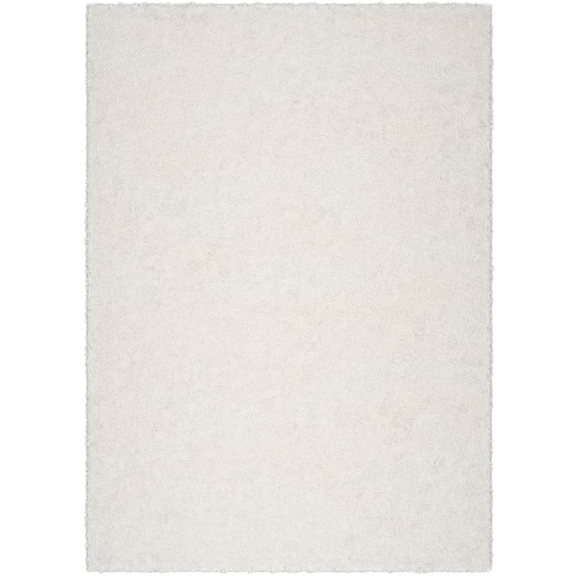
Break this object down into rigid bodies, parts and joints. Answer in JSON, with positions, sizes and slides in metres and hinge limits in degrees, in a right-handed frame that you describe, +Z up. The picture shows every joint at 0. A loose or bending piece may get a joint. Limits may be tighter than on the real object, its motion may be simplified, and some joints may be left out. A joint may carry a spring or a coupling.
{
  "type": "shag rug",
  "caption": "Plain off-white rectangular shag rug, lying flat, with rounded corners and locks of yarn that fall over its rim.",
  "frame": {"origin": "on the floor, under the centre of the rug", "axes": "+Y along the rug's length, towards the top of the picture; +X across it, to the picture's right; +Z up out of the pile"},
  "size_m": [1.528, 2.134, 0.03],
  "materials": {
    "backing_cloth": "coarse plain weave, matt",
    "shag_pile": "soft off-white shag yarn, matt"
  },
  "bodies": {
    "root": {"backing": "backing_cloth", "pile": "shag_pile"}
  },
  "joints": []
}
